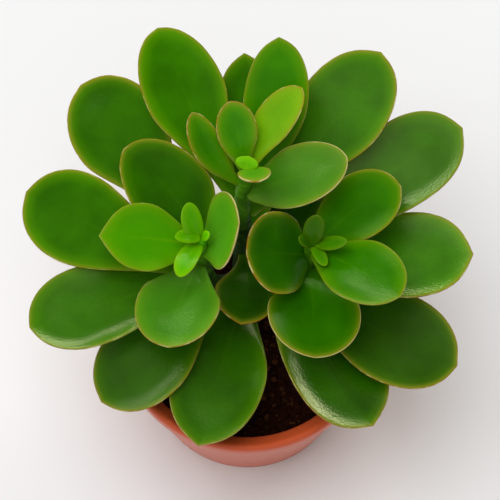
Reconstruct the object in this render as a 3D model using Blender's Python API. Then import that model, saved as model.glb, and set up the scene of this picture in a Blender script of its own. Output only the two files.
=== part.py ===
import math

import bmesh
import bpy
import numpy as np
from mathutils import Vector

# Jade plant in a small round pot.
# World frame: +Z up, origin on the ground under the pot's axis, front at -Y.

MM = 0.001

# Pot
POT_RIM_RADIUS = 52.5 * MM
POT_BASE_RADIUS = 40.0 * MM
POT_HEIGHT = 78.0 * MM
POT_WALL = 2.4 * MM
POT_FLOOR = 3.0 * MM
RIM_WIDTH = 5.2 * MM
RIM_DEPTH = 7.0 * MM
RIM_OVERHANG = 1.0 * MM
POT_SEGMENTS = 48

# Soil
SOIL_TOP = 64.0 * MM
SOIL_BUMP = 0.9 * MM
SOIL_MOUND = 2.0 * MM
SOIL_RINGS = 7
SOIL_SEGMENTS = 36

# Clearance between pieces that touch in the real plant
GAP = 0.3 * MM

# Stems: centreline points in mm, radius in mm at the first and the last point
STEM_SEGMENTS = 12
SHOOTS = {
    "trunk": {
        "points": [(0, 6, 52), (0, 6, 66), (-1, 13, 82), (-1, 20, 94)],
        "radius": (6.4, 5.0),
    },
    "back": {
        "points": [(-1, 20, 94), (-2, 28, 106), (-2, 33, 128), (0, 37, 150)],
        "radius": (4.8, 2.3),
    },
    "left": {
        "points": [(-1, 15, 85), (-8, 11, 92), (-14, 9, 101), (-17, 10.5, 120), (-17, 12, 138)],
        "radius": (4.8, 2.3),
    },
    "right": {
        "points": [(-1, 15, 85), (9, 12, 91), (18, 10, 101), (23, 10.5, 118), (24, 12.5, 135)],
        "radius": (4.8, 2.3),
    },
}

# Leaves: shoot, node height, heading, rise, length, width, roll, arch, sway, widest, pinch, thickness
# Lengths in mm, angles in degrees, arch and sway as a share of the length, widest as a share of it too.
LEAVES = {
    "leaf_01": ("back", 122, 117, 21, 75.5, 31.5, 3, 0.043, 0.026, 0.64, 1.85, 3.8),
    "leaf_02": ("left", 115.5, 124, 7, 86, 37.5, -12, 0.045, -0.021, 0.70, 2.4, 4.0),
    "leaf_03": ("left", 110, 158, 9, 75.5, 35.5, -18, 0.044, 0.020, 0.71, 1.8, 4.0),
    "leaf_04": ("left", 104, 198, 5.5, 72, 33.5, 3, 0.022, -0.016, 0.66, 1.35, 4.0),
    "leaf_05": ("left", 97.5, 227, -4, 64, 34.5, -1, 0.036, 0.025, 0.62, 1.5, 4.2),
    "leaf_06": ("trunk", 80, 255, 9.5, 68.5, 36.5, -3, 0.048, 0.0, 0.58, 1.4, 4.2),
    "leaf_07": ("right", 94, 301, 2, 67.5, 36, -10, 0.035, -0.023, 0.65, 1.0, 4.2),
    "leaf_08": ("right", 100, 330, 3, 72.5, 36.5, 3, 0.023, -0.032, 0.64, 1.5, 4.2),
    "leaf_09": ("right", 107, 6.5, 5.5, 66.5, 35, 1, 0.043, 0.020, 0.64, 1.5, 4.0),
    "leaf_10": ("right", 113, 40, 12.5, 81, 33.5, 3, 0.031, 0.062, 0.69, 1.65, 4.0),
    "leaf_11": ("back", 116, 46, 21.5, 82.5, 34.5, 4, 0.028, -0.051, 0.68, 2.0, 4.0),
    "leaf_12": ("back", 124.5, 75.5, 34.5, 65, 24.5, 0, 0.022, -0.070, 0.64, 1.8, 3.2),
    "leaf_13": ("back", 111, 89, 22.5, 65.5, 23, 0, 0.040, -0.025, 0.63, 1.5, 3.4),
    "leaf_14": ("left", 124.5, 128, 17, 50.5, 31.5, 1, 0.046, -0.090, 0.47, 1.45, 3.6),
    "leaf_15": ("left", 133.5, 178, 18, 39, 26.5, -3, 0.045, -0.018, 0.57, 1.35, 3.0),
    "leaf_16": ("left", 128, 357, 62, 35.5, 29, 1, 0.0, 0.055, 0.58, 1.2, 3.0),
    "leaf_17": ("left", 121, 250, 9, 39, 32.5, 12, 0.029, -0.045, 0.56, 1.0, 3.6),
    "leaf_18": ("back", 98.5, 268.5, 19, 36, 24.5, 0, 0.040, 0.055, 0.60, 2.2, 3.4),
    "leaf_19": ("right", 125, 196, 42, 33, 31, -18, 0.036, -0.014, 0.62, 0.9, 3.4),
    "leaf_20": ("right", 131, 322.5, 23, 44.5, 27.5, -8, 0.044, 0.012, 0.57, 1.3, 3.2),
    "leaf_21": ("right", 124, 34, 19, 44, 25, -1, 0.048, 0.071, 0.62, 1.55, 3.4),
    "leaf_22": ("right", 118, 274, 11, 41, 35.5, -9, 0.035, 0.013, 0.56, 1.1, 3.6),
    "leaf_23": ("back", 137.5, 135, 44, 38, 12.5, 0, 0.034, 0.090, 0.62, 1.7, 2.8),
    "leaf_24": ("back", 145, 106, 46, 31.5, 15.5, 5, 0.037, 0.0, 0.63, 1.55, 2.6),
    "leaf_25": ("back", 141, 52, 35, 43, 15, -3, 0.037, 0.052, 0.62, 1.8, 2.8),
    "leaf_26": ("back", 133.5, 8, 28, 45, 22, 2, 0.042, -0.033, 0.54, 1.2, 3.2),
    "leaf_27": ("trunk", 84, 62, 6, 58, 30, 0, 0.030, 0.0, 0.64, 1.5, 4.0),
    "leaf_28": ("trunk", 88, 92, 12, 56, 26, 0, 0.030, 0.0, 0.64, 1.5, 4.0),
}

# Shoot tips: shoot, and its small fused leaves as
# heading, rise, length, width, roll, arch, sway, widest, pinch, thickness, lift of the root in mm
BUDS = {
    "bud_left": ("left", [
        (116, 60, 21, 8, 0, 0.038, 0.060, 0.61, 1.6, 2.2, 1.0),
        (244, 22, 19.5, 8, 1, 0.044, -0.050, 0.58, 1.1, 2.2, 1.0),
        (190, 30, 11.5, 5.4, -2, 0.042, -0.060, 0.60, 1.3, 1.8, 3.2),
        (15, 58, 6.5, 3.8, 0, 0.040, 0.0, 0.60, 1.4, 1.6, 3.2),
    ]),
    "bud_back": ("back", [
        (295, 56, 15, 12.5, -10, 0.060, 0.0, 0.60, 1.2, 2.4, 0.8),
        (33, 50, 9, 7, 10, 0.050, 0.080, 0.58, 1.0, 2.2, 2.6),
        (200, 62, 6, 4.2, 0, 0.040, 0.0, 0.60, 1.4, 1.6, 2.8),
    ]),
    "bud_right": ("right", [
        (68, 62, 17, 7.8, 2, 0.041, 0.010, 0.60, 1.5, 2.2, 1.0),
        (351, 35, 16.5, 6, 0, 0.035, -0.057, 0.62, 1.8, 2.0, 2.6),
        (296, 23, 13, 4.7, 0, 0.042, 0.010, 0.59, 1.3, 1.8, 1.0),
        (222, 55, 8.5, 4.4, 0, 0.037, 0.060, 0.60, 1.6, 1.6, 2.6),
    ]),
}

LEAF_STATIONS = (0.0, 0.10, 0.21, 0.32, 0.43, 0.54, 0.65, 0.75, 0.84, 0.91, 0.96)
BUD_STATIONS = (0.0, 0.2, 0.4, 0.6, 0.8, 0.93)
SECTION_POINTS = 12
BUD_SECTION_POINTS = 8
ROOT_WIDTH = 0.2
CUP = 0.03


def make_material(name, colour, roughness):
    material = bpy.data.materials.new(name)
    material.use_nodes = True
    shader = material.node_tree.nodes["Principled BSDF"]
    shader.inputs["Base Color"].default_value = (colour[0], colour[1], colour[2], 1.0)
    shader.inputs["Roughness"].default_value = roughness
    shader.inputs["Metallic"].default_value = 0.0
    material.diffuse_color = (colour[0], colour[1], colour[2], 1.0)
    return material


def add_object(name, vertices, faces):
    mesh = bpy.data.meshes.new(name)
    mesh.from_pydata([tuple(v) for v in vertices], [], faces)
    mesh.validate()
    obj = bpy.data.objects.new(name, mesh)
    bpy.context.scene.collection.objects.link(obj)
    face_out(obj)
    return obj


def face_out(obj):
    work = bmesh.new()
    work.from_mesh(obj.data)
    bmesh.ops.remove_doubles(work, verts=work.verts, dist=0.00002)
    bmesh.ops.dissolve_degenerate(work, edges=work.edges, dist=0.00002)
    loose = [edge for edge in work.edges if not edge.link_faces]
    bmesh.ops.delete(work, geom=loose, context="EDGES")
    bmesh.ops.recalc_face_normals(work, faces=work.faces)
    if work.calc_volume(signed=True) < 0:
        bmesh.ops.reverse_faces(work, faces=work.faces)
    work.to_mesh(obj.data)
    work.free()


def smooth(obj):
    for polygon in obj.data.polygons:
        polygon.use_smooth = True


def centreline(points, steps):
    # Smooth curve through the points, in metres
    p = np.array(points, float) * MM
    ends = np.vstack([2 * p[0] - p[1], p, 2 * p[-1] - p[-2]])
    line = []
    for i in range(1, len(ends) - 2):
        a, b, c, d = ends[i - 1], ends[i], ends[i + 1], ends[i + 2]
        for s in range(steps):
            t = s / steps
            line.append(0.5 * (
                2 * b + (c - a) * t
                + (2 * a - 5 * b + 4 * c - d) * t ** 2
                + (3 * b - a - 3 * c + d) * t ** 3
            ))
    line.append(ends[-2])
    return np.array(line)


def point_on(shoot, height):
    line = centreline(SHOOTS[shoot]["points"], 40)
    return np.array([np.interp(height, line[:, 2], line[:, axis]) for axis in range(3)])


def tube(name, line, radii, extra):
    # Round closed tube along a line; extra grows it on every side
    rings = []
    side = Vector((1.0, 0.0, 0.0))
    start = Vector(line[0]) - (Vector(line[1]) - Vector(line[0])).normalized() * extra
    end = Vector(line[-1]) + (Vector(line[-1]) - Vector(line[-2])).normalized() * extra
    centres = [start] + [Vector(q) for q in line[1:-1]] + [end]
    for i, centre in enumerate(centres):
        before = centres[max(i - 1, 0)]
        after = centres[min(i + 1, len(centres) - 1)]
        along = (after - before).normalized()
        side = (side - along * side.dot(along)).normalized()
        other = along.cross(side)
        radius = radii[i] + extra
        ring = []
        for k in range(STEM_SEGMENTS):
            angle = 2 * math.pi * k / STEM_SEGMENTS
            ring.append(centre + side * radius * math.cos(angle) + other * radius * math.sin(angle))
        rings.append(ring)
    vertices = [v for ring in rings for v in ring]
    faces = loft_faces(len(rings), STEM_SEGMENTS)
    faces.append(tuple(reversed(range(STEM_SEGMENTS))))
    last = (len(rings) - 1) * STEM_SEGMENTS
    faces.append(tuple(last + k for k in range(STEM_SEGMENTS)))
    return add_object(name, vertices, faces)


def loft_faces(ring_count, points):
    faces = []
    for i in range(ring_count - 1):
        for k in range(points):
            n = (k + 1) % points
            faces.append((i * points + k, i * points + n, (i + 1) * points + n, (i + 1) * points + k))
    return faces


def boolean(target, tool, operation, solver="EXACT"):
    modifier = target.modifiers.new("cut", "BOOLEAN")
    modifier.operation = operation
    modifier.solver = solver
    modifier.object = tool
    bpy.context.view_layer.objects.active = target
    bpy.ops.object.modifier_apply(modifier=modifier.name)


def remove(obj):
    bpy.data.objects.remove(obj, do_unlink=True)


def build_stem(name, extra):
    # Trunk and its three branches joined into one solid
    pieces = []
    for shoot, form in SHOOTS.items():
        line = centreline(form["points"], 3)
        first, last = form["radius"]
        share = np.linspace(0.0, 1.0, len(line))
        radii = (first + (last - first) * share) * MM
        pieces.append(tube(name + "_" + shoot, line, radii, extra))
    stem = pieces[0]
    for piece in pieces[1:]:
        boolean(stem, piece, "UNION")
        remove(piece)
    stem.name = name
    stem.data.name = name
    return stem


def leaf_frame(heading, rise, roll):
    h, r, p = math.radians(heading), math.radians(rise), math.radians(roll)
    along = np.array([math.cos(r) * math.cos(h), math.cos(r) * math.sin(h), math.sin(r)])
    flat = np.array([-math.sin(h), math.cos(h), 0.0])
    face = np.cross(along, flat)
    side = flat * math.cos(p) + face * math.sin(p)
    normal = face * math.cos(p) - flat * math.sin(p)
    return along, side, normal


def stem_skin():
    # Centreline points of every shoot with the stem's radius at each
    centres = []
    radii = []
    for form in SHOOTS.values():
        line = centreline(form["points"], 40)
        first, last = form["radius"]
        centres.append(line)
        radii.append((first + (last - first) * np.linspace(0.0, 1.0, len(line))) * MM)
    return np.vstack(centres), np.concatenate(radii)


def seat_shift(point, along, skin):
    # How far a point moves along the leaf to stand clear of the stem
    centres, radii = skin
    shift = 0.0
    for attempt in range(300):
        away = np.linalg.norm(centres - (point + along * shift), axis=1) - radii - GAP
        space = away.min()
        if space > -0.00001:
            break
        shift += max(-space, 0.00002)
    return shift


def half_width(t, widest, pinch):
    # Share of the half width at a share t of the length
    if t < widest:
        return ROOT_WIDTH + (1 - ROOT_WIDTH) * math.sin(math.pi / 2 * (t / widest) ** pinch)
    u = (t - widest) / (1 - widest)
    return max(0.0, 1 - u ** 2.1) ** 0.6


def section(root, axes, t, form, points, limit=1.0):
    # Ring of points round the blade at a share t of its length, no wider than the limit on each side
    along, side, normal = axes
    heading, rise, length, width, roll, arch, sway, widest, pinch, thickness = form
    length, width, thickness = length * MM, width * MM, thickness * MM
    bow = 4 * t * (1 - t) * length
    centre = root + along * length * t + normal * bow * arch + side * bow * sway
    slope = 4 * (1 - 2 * t) * sway
    turned = (side - along * slope) / math.sqrt(1 + slope ** 2)
    half = min(half_width(t, widest, pinch) * width / 2, limit)
    depth = thickness / 2 * (1 - 0.45 * t ** 2) * (1 - t ** 10) ** 0.5
    ring = []
    for k in range(points):
        angle = 2 * math.pi * k / points
        c, s = math.cos(angle), math.sin(angle)
        x = math.copysign(abs(c) ** 0.85, c) * half
        z = math.copysign(abs(s) ** 0.75, s) * depth
        lift = CUP * width * (x / (width / 2)) ** 2
        ring.append(centre + turned * x + normal * (z + lift))
    return ring


def build_leaf(name, root, form, stations, points, skin=None):
    # Thick blade: rings of points along a bowed midrib, closed by a point at the tip
    heading, rise, length, roll = form[0], form[1], form[2] * MM, form[4]
    axes = leaf_frame(heading, rise, roll)
    along = axes[0]
    rings = []
    first = 0.4 * MM / length
    if skin is not None:
        reach = seat_shift(root, along, skin) / length
        neck = 0.7 * skin[1][np.argmin(np.linalg.norm(skin[0] - root, axis=1))]
        flat = [point - along * length * reach for point in section(root, axes, reach, form, points, neck)]
        shifts = [seat_shift(point, along, skin) for point in flat]
        rings.append([point + along * shift for point, shift in zip(flat, shifts)])
        first = (max(shifts) + 0.8 * MM) / length
    for station in stations:
        rings.append(section(root, axes, first + (1 - first) * station, form, points))
    vertices = [point for ring in rings for point in ring]
    vertices.append(root + along * length)
    count = len(rings)
    faces = loft_faces(count, points)
    tip = len(vertices) - 1
    last = (count - 1) * points
    for k in range(points):
        faces.append((last + k, last + (k + 1) % points, tip))
    # The root face is made of strips across the blade, so that it follows the round stem
    half = points // 2
    faces.append((1, 0, points - 1))
    faces.append((half + 1, half, half - 1))
    for k in range(1, half - 1):
        faces.append((k + 1, k, points - k, points - k - 1))
    return add_object(name, vertices, faces)


def lathe(name, profile, segments):
    # Closed solid of revolution from an outline of (radius, height) with ends on the axis
    vertices = []
    rings = []
    for radius, height in profile:
        if radius < 1e-6:
            rings.append([len(vertices)])
            vertices.append((0.0, 0.0, height))
            continue
        ring = []
        for k in range(segments):
            angle = 2 * math.pi * k / segments
            ring.append(len(vertices))
            vertices.append((radius * math.cos(angle), radius * math.sin(angle), height))
        rings.append(ring)
    faces = []
    for a, b in zip(rings, rings[1:]):
        for k in range(segments):
            n = (k + 1) % segments
            if len(a) == 1:
                faces.append((a[0], b[k], b[n]))
            elif len(b) == 1:
                faces.append((a[k], a[n], b[0]))
            else:
                faces.append((a[k], a[n], b[n], b[k]))
    return add_object(name, vertices, faces)


def pot_inner_radius(height):
    # Inside face of the wall, parallel to the outer taper
    top = POT_RIM_RADIUS - RIM_OVERHANG
    share = height / (POT_HEIGHT - RIM_DEPTH)
    return POT_BASE_RADIUS + (top - POT_BASE_RADIUS) * share - POT_WALL


def build_pot():
    outer = POT_RIM_RADIUS
    inner = POT_RIM_RADIUS - RIM_WIDTH
    under = POT_HEIGHT - RIM_DEPTH
    top = POT_HEIGHT
    profile = [
        (0.0, 0.0),
        (POT_BASE_RADIUS - 1.5 * MM, 0.0),
        (POT_BASE_RADIUS - 0.3 * MM, 0.5 * MM),
        (POT_BASE_RADIUS + 0.2 * MM, 1.8 * MM),
        (outer - RIM_OVERHANG, under),
        (outer - 0.3 * MM, under + 0.3 * MM),
        (outer, under + 1.2 * MM),
        (outer, top - 2.0 * MM),
        (outer - 0.6 * MM, top - 0.6 * MM),
        (outer - 1.8 * MM, top),
        (outer - 3.2 * MM, top - 0.5 * MM),
        (inner + 0.6 * MM, top - 1.1 * MM),
        (inner, top - 2.4 * MM),
        (pot_inner_radius(under - 3.0 * MM), under - 3.0 * MM),
        (pot_inner_radius(POT_FLOOR + 2.0 * MM), POT_FLOOR + 2.0 * MM),
        (pot_inner_radius(POT_FLOOR) - 2.0 * MM, POT_FLOOR),
        (0.0, POT_FLOOR),
    ]
    return lathe("pot", profile, POT_SEGMENTS)


def build_soil():
    # Filling with an uneven, slightly mounded top
    waves = np.random.default_rng(11).uniform(-1.0, 1.0, (SOIL_RINGS + 1, SOIL_SEGMENTS))
    edge = pot_inner_radius(SOIL_TOP) - GAP
    bottom = POT_FLOOR + GAP
    vertices = [(0.0, 0.0, SOIL_TOP + SOIL_MOUND)]
    for i in range(1, SOIL_RINGS + 1):
        share = i / SOIL_RINGS
        for k in range(SOIL_SEGMENTS):
            angle = 2 * math.pi * k / SOIL_SEGMENTS
            rough = (waves[i, k] + waves[i, k - 1]) / 2 * SOIL_BUMP
            height = SOIL_TOP + SOIL_MOUND * (1 - share ** 2) + rough
            if i == SOIL_RINGS:
                height = SOIL_TOP - 1.0 * MM
            vertices.append((edge * share * math.cos(angle), edge * share * math.sin(angle), height))
    low = [(pot_inner_radius(bottom + 2.0 * MM) - GAP, bottom + 2.0 * MM)]
    low.append((pot_inner_radius(bottom) - 2.0 * MM - GAP, bottom))
    for radius, height in low:
        for k in range(SOIL_SEGMENTS):
            angle = 2 * math.pi * k / SOIL_SEGMENTS
            vertices.append((radius * math.cos(angle), radius * math.sin(angle), height))
    faces = []
    for k in range(SOIL_SEGMENTS):
        faces.append((0, 1 + k, 1 + (k + 1) % SOIL_SEGMENTS))
    for i in range(SOIL_RINGS + 1):
        for k in range(SOIL_SEGMENTS):
            n = (k + 1) % SOIL_SEGMENTS
            a = 1 + i * SOIL_SEGMENTS
            b = a + SOIL_SEGMENTS
            faces.append((a + k, b + k, b + n, a + n))
    last = 1 + (SOIL_RINGS + 1) * SOIL_SEGMENTS
    faces.append(tuple(last + k for k in reversed(range(SOIL_SEGMENTS))))
    return add_object("soil", vertices, faces)


def build_bud(name, shoot, blades):
    # Small leaves grown together round the growing point. MANIFOLD joins them, as EXACT left
    # edges shared by four faces there.
    tip = np.array(SHOOTS[shoot]["points"][-1], float) * MM
    bpy.ops.mesh.primitive_uv_sphere_add(segments=8, ring_count=6, radius=1.0, location=(0, 0, 0))
    bud = bpy.context.active_object
    bud.name = name
    bud.data.name = name
    for vertex in bud.data.vertices:
        vertex.co.x = vertex.co.x * 2.0 * MM + tip[0]
        vertex.co.y = vertex.co.y * 2.0 * MM + tip[1]
        vertex.co.z = vertex.co.z * 3.0 * MM + tip[2] + 2.4 * MM
    for number, blade in enumerate(blades):
        root = tip + np.array([0.0, 0.0, blade[-1] * MM])
        piece = build_leaf(
            name + "_blade_" + str(number), root, blade[:-1], BUD_STATIONS, BUD_SECTION_POINTS
        )
        boolean(bud, piece, "UNION", "MANIFOLD")
        remove(piece)
    return bud


def main():
    for obj in list(bpy.data.objects):
        bpy.data.objects.remove(obj, do_unlink=True)

    pot = build_pot()
    pot.data.materials.append(make_material("pot", (0.48, 0.12, 0.055), 0.38))

    stem = build_stem("stem", 0.0)
    stem.data.materials.append(make_material("stem", (0.20, 0.22, 0.06), 0.6))
    clear = build_stem("stem_clearance", GAP)

    soil = build_soil()
    boolean(soil, clear, "DIFFERENCE")
    soil.data.materials.append(make_material("soil", (0.03, 0.014, 0.007), 0.95))

    old = (0.055, 0.17, 0.012)
    young = (0.13, 0.33, 0.012)
    light = {"leaf_15", "leaf_16", "leaf_20", "leaf_24", "leaf_25"}
    skin = stem_skin()
    for name, form in LEAVES.items():
        shoot, node = form[0], form[1]
        root = point_on(shoot, node * MM)
        leaf = build_leaf(name, root, form[2:], LEAF_STATIONS, SECTION_POINTS, skin)
        leaf.data.materials.append(make_material(name, young if name in light else old, 0.4))

    for name, (shoot, blades) in BUDS.items():
        bud = build_bud(name, shoot, blades)
        boolean(bud, clear, "DIFFERENCE", "MANIFOLD")
        bud.data.materials.append(make_material(name, young, 0.4))

    remove(clear)
    for obj in bpy.context.scene.objects:
        face_out(obj)
        smooth(obj)


main()
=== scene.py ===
import math

import bpy
import numpy as np
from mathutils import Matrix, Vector, noise


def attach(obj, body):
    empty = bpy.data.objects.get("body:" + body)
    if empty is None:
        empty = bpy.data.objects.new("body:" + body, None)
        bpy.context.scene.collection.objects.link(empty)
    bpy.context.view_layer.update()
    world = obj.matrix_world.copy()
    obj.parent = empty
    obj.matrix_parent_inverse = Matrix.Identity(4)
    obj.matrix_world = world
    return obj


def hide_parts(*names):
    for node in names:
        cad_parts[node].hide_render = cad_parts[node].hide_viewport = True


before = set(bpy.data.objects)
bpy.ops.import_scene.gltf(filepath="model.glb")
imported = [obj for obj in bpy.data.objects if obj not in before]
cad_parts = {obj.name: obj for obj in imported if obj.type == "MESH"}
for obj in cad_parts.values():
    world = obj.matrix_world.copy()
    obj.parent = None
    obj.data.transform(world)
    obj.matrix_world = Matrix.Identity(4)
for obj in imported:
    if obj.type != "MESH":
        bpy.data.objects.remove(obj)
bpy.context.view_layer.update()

# Jade plant in a small terracotta-coloured plastic pot, seen from above its front.
# Metres, +Z up, origin on the ground under the pot's axis, front at -Y.

MM = 0.001

# Camera: degrees above the ground, distance, and the point that it looks at
VIEW_ELEVATION = 71.0
VIEW_DISTANCE = 900 * MM
VIEW_TARGET = (1.1 * MM, 12.0 * MM, 130.0 * MM)
LENS = 172.2
SENSOR_WIDTH = 36.0
CLIP_START = 10 * MM

# Soft panels: heading and elevation in degrees, distance, size, power in watts, and tint
SOFTBOXES = {
    "softbox_over": (180, 81, 3.0, (1.9, 1.9), 49.0, (0.985, 1.0, 1.03)),
    "softbox_key": (136, 52, 4.0, (1.7, 0.6), 20.5, (0.94, 1.0, 1.07)),
    "softbox_back": (68, 34, 3.0, (3.6, 0.4), 39.0, (1.03, 1.0, 0.97)),
}
PANEL_TARGET = (0.0, 0.0, 100 * MM)

# Room light: the way that it comes from, the cosines between which it fades in,
# its strength behind the plant and in front of it, and its tint
ROOM_WAY = (-0.60, -0.72, 0.34)
ROOM_FADE = (-0.1, 0.5)
ROOM_STRENGTH = (0.10, 0.56)
ROOM_TINT = (1.01, 0.985, 0.95, 1.0)

# Side of the floor in metres, so wide that no view shows its end
FLOOR_SIZE = 24.0

# Pot: radii, heights and wall, and the foot ring round the recessed underside
RIM_RADIUS = 52.5 * MM
BASE_RADIUS = 40.0 * MM
POT_HEIGHT = 78.0 * MM
RIM_DEPTH = 7.0 * MM
RIM_OVERHANG = 1.0 * MM
RIM_WIDTH = 6.5 * MM
WALL = 2.4 * MM
POT_FLOOR = 3.0 * MM
FOOT_INNER = BASE_RADIUS - 2.2 * MM
FOOT_RECESS = 0.6 * MM
START_DISC = 0.4 * MM
POT_SEGMENTS = 128

# Soil: a low mound with lumps and finer grit, and loose crumbs, a few of them large
SOIL_TOP = 64.0 * MM
SOIL_BOTTOM = 4.0 * MM
SOIL_MOUND = 2.0 * MM
SOIL_GAP = 0.2 * MM
SOIL_SEGMENTS = 96
SOIL_RINGS = 44
LUMP_SIZE = 7.0 * MM
LUMP_HEIGHT = 0.9 * MM
GRIT_SIZE = 2.2 * MM
GRIT_HEIGHT = 0.45 * MM
CRUMBS = 900
CRUMB_RADIUS = (0.35 * MM, 1.15 * MM)
LARGE_CRUMB_RADIUS = (1.2 * MM, 1.9 * MM)
LARGE_CRUMB_SHARE = 0.06
CRUMB_MARGIN = 1.6 * MM
CRUMB_ROUGHNESS = 0.45
CRUMB_SEED = 5

# Stem: centreline points in mm, radius in mm at the first and the last point
SHOOTS = {
    "trunk": {
        "points": [(0, 6, 52), (0, 6, 66), (-1, 13, 82), (-1, 20, 94)],
        "radius": (6.4, 5.0),
    },
    "back": {
        "points": [(-1, 20, 94), (-2, 28, 106), (-2, 33, 128), (0, 37, 150)],
        "radius": (4.8, 2.3),
    },
    "left": {
        "points": [(-1, 15, 85), (-8, 11, 92), (-14, 9, 101), (-17, 10.5, 120), (-17, 12, 138)],
        "radius": (4.8, 2.3),
    },
    "right": {
        "points": [(-1, 15, 85), (9, 12, 91), (18, 10, 101), (23, 10.5, 118), (24, 12.5, 135)],
        "radius": (4.8, 2.3),
    },
}

# Stem skin: how far it swells at a leaf's node, and how far up and down the swelling reaches,
# what is taken off the radius between nodes, and the voxel that grows the shoots together
NODE_SWELL = 0.45 * MM
NODE_REACH = 1.3 * MM
NODE_WAIST = 0.15 * MM
STEM_VOXEL = 0.6 * MM
# Steps between two centreline points, for the skin and for finding a leaf's place
SKIN_STEPS = 24
NODE_STEPS = 40

# Leaves: shoot, node height, heading, rise, length, width, roll, arch, sway, widest, pinch,
# thickness. Lengths are in mm and angles in degrees. Arch and sway are shares of the length,
# and so is widest, the place of the greatest width. A low pinch gives a full base.
LEAVES = {
    "leaf_01": ("back", 122, 117, 21, 75.5, 31.5, 3, 0.043, 0.026, 0.64, 2.15, 3.8),
    "leaf_02": ("left", 115.5, 124, 7, 86, 37, -12, 0.045, -0.036, 0.70, 2.7, 4.0),
    "leaf_03": ("left", 110, 157.2, 9, 75.5, 35.5, -18, 0.044, 0.020, 0.71, 1.8, 4.0),
    "leaf_04": ("left", 104, 198.4, 5.5, 72, 33.5, 3, 0.022, -0.016, 0.66, 1.35, 4.0),
    "leaf_05": ("left", 97.5, 227, -4, 64, 34.5, -1, 0.036, 0.025, 0.62, 1.5, 4.2),
    "leaf_06": ("trunk", 80, 255, 9.5, 70.2, 36.5, -3, 0.048, 0.0, 0.58, 1.4, 4.2),
    "leaf_07": ("right", 94, 301, 2, 69, 36, -10, 0.035, -0.023, 0.65, 1.0, 4.2),
    "leaf_08": ("right", 100, 330, 3, 72.5, 36.5, 3, 0.023, -0.032, 0.64, 1.5, 4.2),
    "leaf_09": ("right", 107, 3.3, 9.5, 67.1, 35, -3, 0.043, 0.020, 0.64, 1.5, 4.0),
    "leaf_10": ("right", 113, 40, 12.5, 81, 33.5, 3, 0.031, 0.062, 0.69, 1.4, 4.0),
    "leaf_11": ("back", 116, 46, 21.5, 82.5, 34.5, 4, 0.028, -0.051, 0.68, 2.0, 4.0),
    "leaf_12": ("back", 124.5, 75, 34.5, 66.5, 24.5, 0, 0.022, -0.070, 0.64, 1.8, 3.2),
    "leaf_13": ("back", 111, 89, 22.5, 65.5, 23, 0, 0.040, -0.025, 0.63, 1.5, 3.4),
    "leaf_14": ("left", 124.5, 128, 17, 50.5, 31.5, 1, 0.046, -0.090, 0.47, 1.45, 3.6),
    "leaf_15": ("left", 133.5, 179.6, 18, 40, 26.5, -3, 0.045, -0.018, 0.57, 1.35, 3.0),
    "leaf_16": ("left", 128, 363, 64.5, 35.5, 29, 1, 0.0, 0.055, 0.58, 1.2, 3.0),
    "leaf_17": ("left", 121, 252, 9, 39, 32.5, 12, 0.029, -0.045, 0.56, 1.0, 3.6),
    "leaf_18": ("back", 98.5, 268.5, 19, 37.5, 24.5, 0, 0.040, 0.055, 0.60, 2.2, 3.4),
    "leaf_19": ("right", 125, 196, 42, 35, 31, -18, 0.036, -0.014, 0.57, 0.66, 3.4),
    "leaf_20": ("right", 131, 322.5, 23, 44.5, 27.5, -8, 0.044, 0.012, 0.57, 1.3, 3.2),
    "leaf_21": ("right", 124, 34, 19, 44, 25.5, -1, 0.048, 0.071, 0.62, 1.2, 3.4),
    "leaf_22": ("right", 118, 272.8, 11, 41, 35.5, -9, 0.035, 0.013, 0.56, 1.1, 3.6),
    "leaf_23": ("back", 137.5, 135, 44, 38, 12.5, 0, 0.034, 0.090, 0.62, 1.7, 2.8),
    "leaf_24": ("back", 145, 106, 46, 31.5, 15.5, 5, 0.037, 0.0, 0.63, 1.55, 2.6),
    "leaf_25": ("back", 141, 52, 35, 43, 15, -3, 0.037, 0.052, 0.62, 1.8, 2.8),
    "leaf_26": ("back", 133.5, 8, 28, 45, 24, 2, 0.042, -0.045, 0.56, 1.1, 3.2),
    "leaf_27": ("trunk", 84, 62, 6, 58, 30, 0, 0.030, 0.0, 0.64, 1.5, 4.0),
    "leaf_28": ("trunk", 88, 86, 12, 56, 21, 0, 0.030, 0.0, 0.64, 1.8, 4.0),
}

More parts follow.
